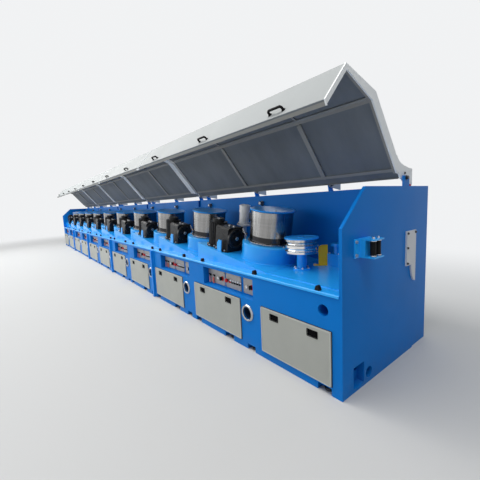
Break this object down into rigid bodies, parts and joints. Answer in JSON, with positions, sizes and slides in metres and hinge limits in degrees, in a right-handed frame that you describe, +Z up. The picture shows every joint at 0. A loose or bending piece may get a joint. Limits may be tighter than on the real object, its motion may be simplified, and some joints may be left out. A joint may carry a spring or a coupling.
{
  "type": "wire drawing machine",
  "caption": "Straight-line wire drawing machine: a long plinth with tilted drawing drums, die boxes, a rear cabinet and lifting hood sections.",
  "frame": {"origin": "middle of the plinth's footprint, on the floor", "axes": "+X along the line towards the end bay, -Y towards the operator's side, +Z up"},
  "size_m": [15.106, 1.8033, 2.5965],
  "materials": {
    "frame_blue": "gloss",
    "deck_blue": "gloss",
    "rail_blue": "gloss",
    "lid_blue": "gloss",
    "drum_steel": "polished",
    "hood_grey": "satin",
    "door_grey": "satin",
    "black_iron": "satin",
    "rubber_black": "matt",
    "ring_chrome": "polished",
    "panel_steel": "brushed",
    "guard_yellow": "gloss",
    "motor_alu": "cast",
    "roller_black": "satin",
    "sensor_grey": "satin"
  },
  "bodies": {
    "machine_frame": {"block_1": "frame_blue", "block_2": "frame_blue", "block_3": "frame_blue", "block_4": "frame_blue", "block_5": "frame_blue", "near_end_plate": "frame_blue", "far_end_plate": "frame_blue", "drum_decks": "deck_blue", "deck_gussets": "deck_blue", "drum_bosses": "frame_blue", "die_boxes": "black_iron", "front_rail": "rail_blue", "rail_bumpers": "rubber_black", "front_doors": "door_grey", "door_latches": "roller_black", "back_panels": "door_grey", "port_rings": "ring_chrome", "control_plates": "panel_steel", "control_knobs": "roller_black", "hinge_brackets": "frame_blue", "sheave_column": "frame_blue", "wire_guard": "guard_yellow", "end_cylinder": "frame_blue", "gear_motor": "motor_alu", "exit_bracket": "rail_blue", "exit_rollers": "roller_black", "side_plate": "panel_steel", "wall_sensors": "sensor_grey"},
    "drum_body_1": {"drum_1": "drum_steel", "drum_lid_1": "lid_blue"},
    "drum_body_2": {"drum_2": "drum_steel", "drum_lid_2": "lid_blue"},
    "drum_body_3": {"drum_3": "drum_steel", "drum_lid_3": "lid_blue"},
    "drum_body_4": {"drum_4": "drum_steel", "drum_lid_4": "lid_blue"},
    "drum_body_5": {"drum_5": "drum_steel", "drum_lid_5": "lid_blue"},
    "drum_body_6": {"drum_6": "drum_steel", "drum_lid_6": "lid_blue"},
    "drum_body_7": {"drum_7": "drum_steel", "drum_lid_7": "lid_blue"},
    "drum_body_8": {"drum_8": "drum_steel", "drum_lid_8": "lid_blue"},
    "drum_body_9": {"drum_9": "drum_steel", "drum_lid_9": "lid_blue"},
    "drum_body_10": {"drum_10": "drum_steel", "drum_lid_10": "lid_blue"},
    "sheave_body": {"guide_sheave": "drum_steel", "sheave_lid": "lid_blue"},
    "hood_body_1": {"hood_1": "hood_grey", "hood_handles_1": "roller_black"},
    "hood_body_2": {"hood_2": "hood_grey", "hood_handles_2": "roller_black"},
    "hood_body_3": {"hood_3": "hood_grey", "hood_handles_3": "roller_black"},
    "hood_body_4": {"hood_4": "hood_grey", "hood_handles_4": "roller_black"},
    "hood_body_5": {"hood_5": "hood_grey", "hood_handles_5": "roller_black"}
  },
  "joints": [
    {"name": "drum_1_spin", "type": "hinge", "parent": "machine_frame", "child": "drum_body_1", "pos_m": [6.15418, -0.28, 1.14465], "axis": [0.1513, 0, 0.9885], "continuous": true},
    {"name": "drum_2_spin", "type": "hinge", "parent": "machine_frame", "child": "drum_body_2", "pos_m": [4.75418, -0.28, 1.14465], "axis": [0.1513, 0, 0.9885], "continuous": true},
    {"name": "drum_3_spin", "type": "hinge", "parent": "machine_frame", "child": "drum_body_3", "pos_m": [3.35418, -0.28, 1.14465], "axis": [0.1513, 0, 0.9885], "continuous": true},
    {"name": "drum_4_spin", "type": "hinge", "parent": "machine_frame", "child": "drum_body_4", "pos_m": [1.95418, -0.28, 1.14465], "axis": [0.1513, 0, 0.9885], "continuous": true},
    {"name": "drum_5_spin", "type": "hinge", "parent": "machine_frame", "child": "drum_body_5", "pos_m": [0.55418, -0.28, 1.14465], "axis": [0.1513, 0, 0.9885], "continuous": true},
    {"name": "drum_6_spin", "type": "hinge", "parent": "machine_frame", "child": "drum_body_6", "pos_m": [-0.84582, -0.28, 1.14465], "axis": [0.1513, 0, 0.9885], "continuous": true},
    {"name": "drum_7_spin", "type": "hinge", "parent": "machine_frame", "child": "drum_body_7", "pos_m": [-2.24582, -0.28, 1.14465], "axis": [0.1513, 0, 0.9885], "continuous": true},
    {"name": "drum_8_spin", "type": "hinge", "parent": "machine_frame", "child": "drum_body_8", "pos_m": [-3.64582, -0.28, 1.14465], "axis": [0.1513, 0, 0.9885], "continuous": true},
    {"name": "drum_9_spin", "type": "hinge", "parent": "machine_frame", "child": "drum_body_9", "pos_m": [-5.04582, -0.28, 1.14465], "axis": [0.1513, 0, 0.9885], "continuous": true},
    {"name": "drum_10_spin", "type": "hinge", "parent": "machine_frame", "child": "drum_body_10", "pos_m": [-6.44582, -0.28, 1.14465], "axis": [0.1513, 0, 0.9885], "continuous": true},
    {"name": "sheave_spin", "type": "hinge", "parent": "machine_frame", "child": "sheave_body", "pos_m": [6.685, -0.332, 1.063], "axis": [0, 0, 1], "continuous": true},
    {"name": "hood_1_hinge", "type": "hinge", "parent": "machine_frame", "child": "hood_body_1", "pos_m": [5.6, 0.275, 1.785], "axis": [1, 0, 0], "range_deg": [0, 62]},
    {"name": "hood_2_hinge", "type": "hinge", "parent": "machine_frame", "child": "hood_body_2", "pos_m": [2.315, 0.275, 1.785], "axis": [1, 0, 0], "range_deg": [0, 62]},
    {"name": "hood_3_hinge", "type": "hinge", "parent": "machine_frame", "child": "hood_body_3", "pos_m": [-0.485, 0.275, 1.785], "axis": [1, 0, 0], "range_deg": [0, 62]},
    {"name": "hood_4_hinge", "type": "hinge", "parent": "machine_frame", "child": "hood_body_4", "pos_m": [-3.285, 0.275, 1.785], "axis": [1, 0, 0], "range_deg": [0, 62]},
    {"name": "hood_5_hinge", "type": "hinge", "parent": "machine_frame", "child": "hood_body_5", "pos_m": [-6.085, 0.275, 1.785], "axis": [1, 0, 0], "range_deg": [0, 62]}
  ]
}
